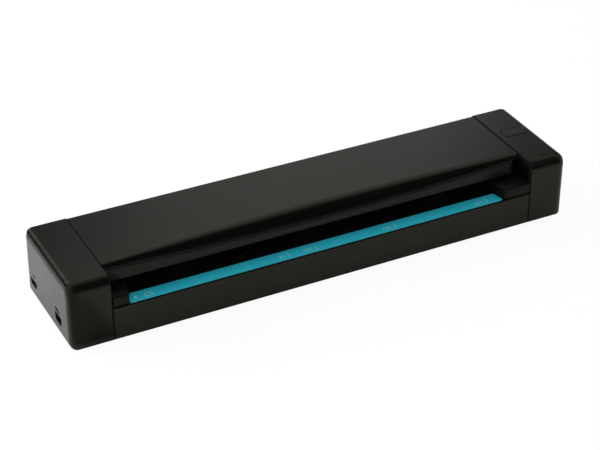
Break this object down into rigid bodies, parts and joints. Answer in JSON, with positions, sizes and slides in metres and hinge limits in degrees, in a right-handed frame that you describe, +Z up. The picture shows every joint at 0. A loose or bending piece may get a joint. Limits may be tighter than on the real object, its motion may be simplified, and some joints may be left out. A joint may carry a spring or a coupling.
{
  "type": "sheet-fed document scanner",
  "caption": "Slim portable duplex page scanner: a front feed slot, a rear-hinged cover over the paper path, geared feed rollers, a push button and side sockets.",
  "frame": {"origin": "middle of the footprint, at the underside of the feet", "axes": "+X along the length towards the cap with the button, +Y from the feed slot to the rear, +Z up"},
  "size_m": [0.295, 0.063, 0.0382],
  "materials": {
    "button_board": "green solder mask",
    "button_switch": "steel can switch",
    "cap_screw_front_left": "zinc plated steel",
    "cap_screw_front_right": "zinc plated steel",
    "cap_screw_rear_left": "zinc plated steel",
    "cap_screw_rear_right": "zinc plated steel",
    "drive_motor": "zinc plated can",
    "exit_bush_left": "natural acetal",
    "exit_bush_right": "natural acetal",
    "exit_gear": "natural acetal",
    "exit_roller_1": "matt black rubber",
    "exit_roller_2": "matt black rubber",
    "exit_roller_3": "matt black rubber",
    "exit_shaft": "ground steel",
    "fascia": "satin black plastic",
    "feed_bush_left": "natural acetal",
    "feed_bush_right": "natural acetal",
    "feed_gear": "natural acetal",
    "feed_roller_1": "matt black rubber",
    "feed_roller_2": "matt black rubber",
    "feed_roller_3": "matt black rubber",
    "feed_shaft": "ground steel",
    "feed_strip": "satin teal plastic",
    "foot_front_left": "soft black rubber",
    "foot_front_right": "soft black rubber",
    "foot_rear_left": "soft black rubber",
    "foot_rear_right": "soft black rubber",
    "front_pinch_roller": "natural acetal",
    "front_port_shell": "tin plated steel",
    "front_port_tongue": "black plastic",
    "gear_bracket": "zinc plated sheet",
    "hinge_pin_left": "bright steel",
    "hinge_pin_right": "bright steel",
    "idler_gear": "natural acetal",
    "left_end_cap": "fine textured black ABS",
    "left_side_frame": "smooth black plastic",
    "lower_housing": "fine textured black ABS",
    "lower_sensor_glass": "clear polished glass",
    "lower_sensor_housing": "matt black plastic",
    "lower_white_strip": "matt white film",
    "main_board": "green solder mask",
    "motor_pinion": "turned brass",
    "paper_bed": "smooth black plastic",
    "paper_flag": "smooth black plastic",
    "pinch_spring_front_left": "spring steel",
    "pinch_spring_front_right": "spring steel",
    "pinch_spring_rear_left": "spring steel",
    "pinch_spring_rear_right": "spring steel",
    "port_board": "green solder mask",
    "rear_pinch_roller": "natural acetal",
    "rear_port_shell": "tin plated steel",
    "rear_port_tongue": "black plastic",
    "right_end_cap": "fine textured black ABS",
    "right_side_frame": "smooth black plastic",
    "scan_button": "fine textured black ABS",
    "top_cover": "fine textured black ABS",
    "upper_frame": "smooth black plastic",
    "upper_sensor_glass": "clear polished glass",
    "upper_sensor_housing": "matt black plastic",
    "upper_white_strip": "matt white film"
  },
  "bodies": {
    "base": {"button_board": "button_board", "button_switch": "button_switch", "cap_screw_front_left": "cap_screw_front_left", "cap_screw_front_right": "cap_screw_front_right", "cap_screw_rear_left": "cap_screw_rear_left", "cap_screw_rear_right": "cap_screw_rear_right", "drive_motor": "drive_motor", "exit_bush_left": "exit_bush_left", "exit_bush_right": "exit_bush_right", "feed_bush_left": "feed_bush_left", "feed_bush_right": "feed_bush_right", "feed_strip": "feed_strip", "foot_front_left": "foot_front_left", "foot_front_right": "foot_front_right", "foot_rear_left": "foot_rear_left", "foot_rear_right": "foot_rear_right", "front_port_shell": "front_port_shell", "front_port_tongue": "front_port_tongue", "gear_bracket": "gear_bracket", "hinge_pin_left": "hinge_pin_left", "hinge_pin_right": "hinge_pin_right", "left_end_cap": "left_end_cap", "left_side_frame": "left_side_frame", "lower_housing": "lower_housing", "lower_sensor_glass": "lower_sensor_glass", "lower_sensor_housing": "lower_sensor_housing", "lower_white_strip": "lower_white_strip", "main_board": "main_board", "paper_bed": "paper_bed", "port_board": "port_board", "rear_port_shell": "rear_port_shell", "rear_port_tongue": "rear_port_tongue", "right_end_cap": "right_end_cap", "right_side_frame": "right_side_frame"},
    "cover": {"top_cover": "top_cover", "fascia": "fascia", "upper_frame": "upper_frame", "upper_sensor_housing": "upper_sensor_housing", "upper_sensor_glass": "upper_sensor_glass", "upper_white_strip": "upper_white_strip", "pinch_spring_front_left": "pinch_spring_front_left", "pinch_spring_front_right": "pinch_spring_front_right", "pinch_spring_rear_left": "pinch_spring_rear_left", "pinch_spring_rear_right": "pinch_spring_rear_right"},
    "front_pinch": {"front_pinch_roller": "front_pinch_roller"},
    "rear_pinch": {"rear_pinch_roller": "rear_pinch_roller"},
    "feed_drive": {"feed_shaft": "feed_shaft", "feed_roller_1": "feed_roller_1", "feed_roller_2": "feed_roller_2", "feed_roller_3": "feed_roller_3", "feed_gear": "feed_gear"},
    "exit_drive": {"exit_shaft": "exit_shaft", "exit_roller_1": "exit_roller_1", "exit_roller_2": "exit_roller_2", "exit_roller_3": "exit_roller_3", "exit_gear": "exit_gear"},
    "idler": {"idler_gear": "idler_gear"},
    "pinion": {"motor_pinion": "motor_pinion"},
    "button": {"scan_button": "scan_button"},
    "flag": {"paper_flag": "paper_flag"}
  },
  "joints": [
    {"name": "cover_hinge", "type": "hinge", "parent": "base", "child": "cover", "pos_m": [0, 0.0268, 0.0315], "axis": [-1, 0, 0], "range_deg": [0, 60]},
    {"name": "feed_shaft_spin", "type": "hinge", "parent": "base", "child": "feed_drive", "pos_m": [0, -0.0085, 0.0145], "axis": [1, 0, 0], "continuous": true},
    {"name": "exit_shaft_spin", "type": "hinge", "parent": "base", "child": "exit_drive", "pos_m": [0, 0.0195, 0.0145], "axis": [1, 0, 0], "continuous": true},
    {"name": "idler_spin", "type": "hinge", "parent": "base", "child": "idler", "pos_m": [0, 0.0055, 0.0145], "axis": [1, 0, 0], "continuous": true},
    {"name": "pinion_spin", "type": "hinge", "parent": "base", "child": "pinion", "pos_m": [0, -0.01794, 0.0178], "axis": [1, 0, 0], "continuous": true},
    {"name": "front_pinch_spin", "type": "hinge", "parent": "cover", "child": "front_pinch", "pos_m": [0, -0.0085, 0.0246], "axis": [1, 0, 0], "continuous": true},
    {"name": "rear_pinch_spin", "type": "hinge", "parent": "cover", "child": "rear_pinch", "pos_m": [0, 0.0195, 0.0246], "axis": [1, 0, 0], "continuous": true},
    {"name": "button_press", "type": "slide", "parent": "base", "child": "button", "axis": [0, 0, -1], "range_m": [0, 0.0005], "stiffness_N_per_m": 300, "springref_m": -0.0005},
    {"name": "flag_swing", "type": "hinge", "parent": "base", "child": "flag", "pos_m": [-0.043, -0.0158, 0.0155], "axis": [-1, 0, 0], "range_deg": [0, 55], "stiffness_Nm_per_rad": 0.0002, "springref_deg": -11.46}
  ],
  "couplings": [
    {"joint": "exit_shaft_spin", "follows": "feed_shaft_spin", "ratio": 1},
    {"joint": "idler_spin", "follows": "feed_shaft_spin", "ratio": -1},
    {"joint": "pinion_spin", "follows": "feed_shaft_spin", "ratio": -2.3333},
    {"joint": "front_pinch_spin", "follows": "feed_shaft_spin", "ratio": -1.2791},
    {"joint": "rear_pinch_spin", "follows": "feed_shaft_spin", "ratio": -1.2791}
  ]
}
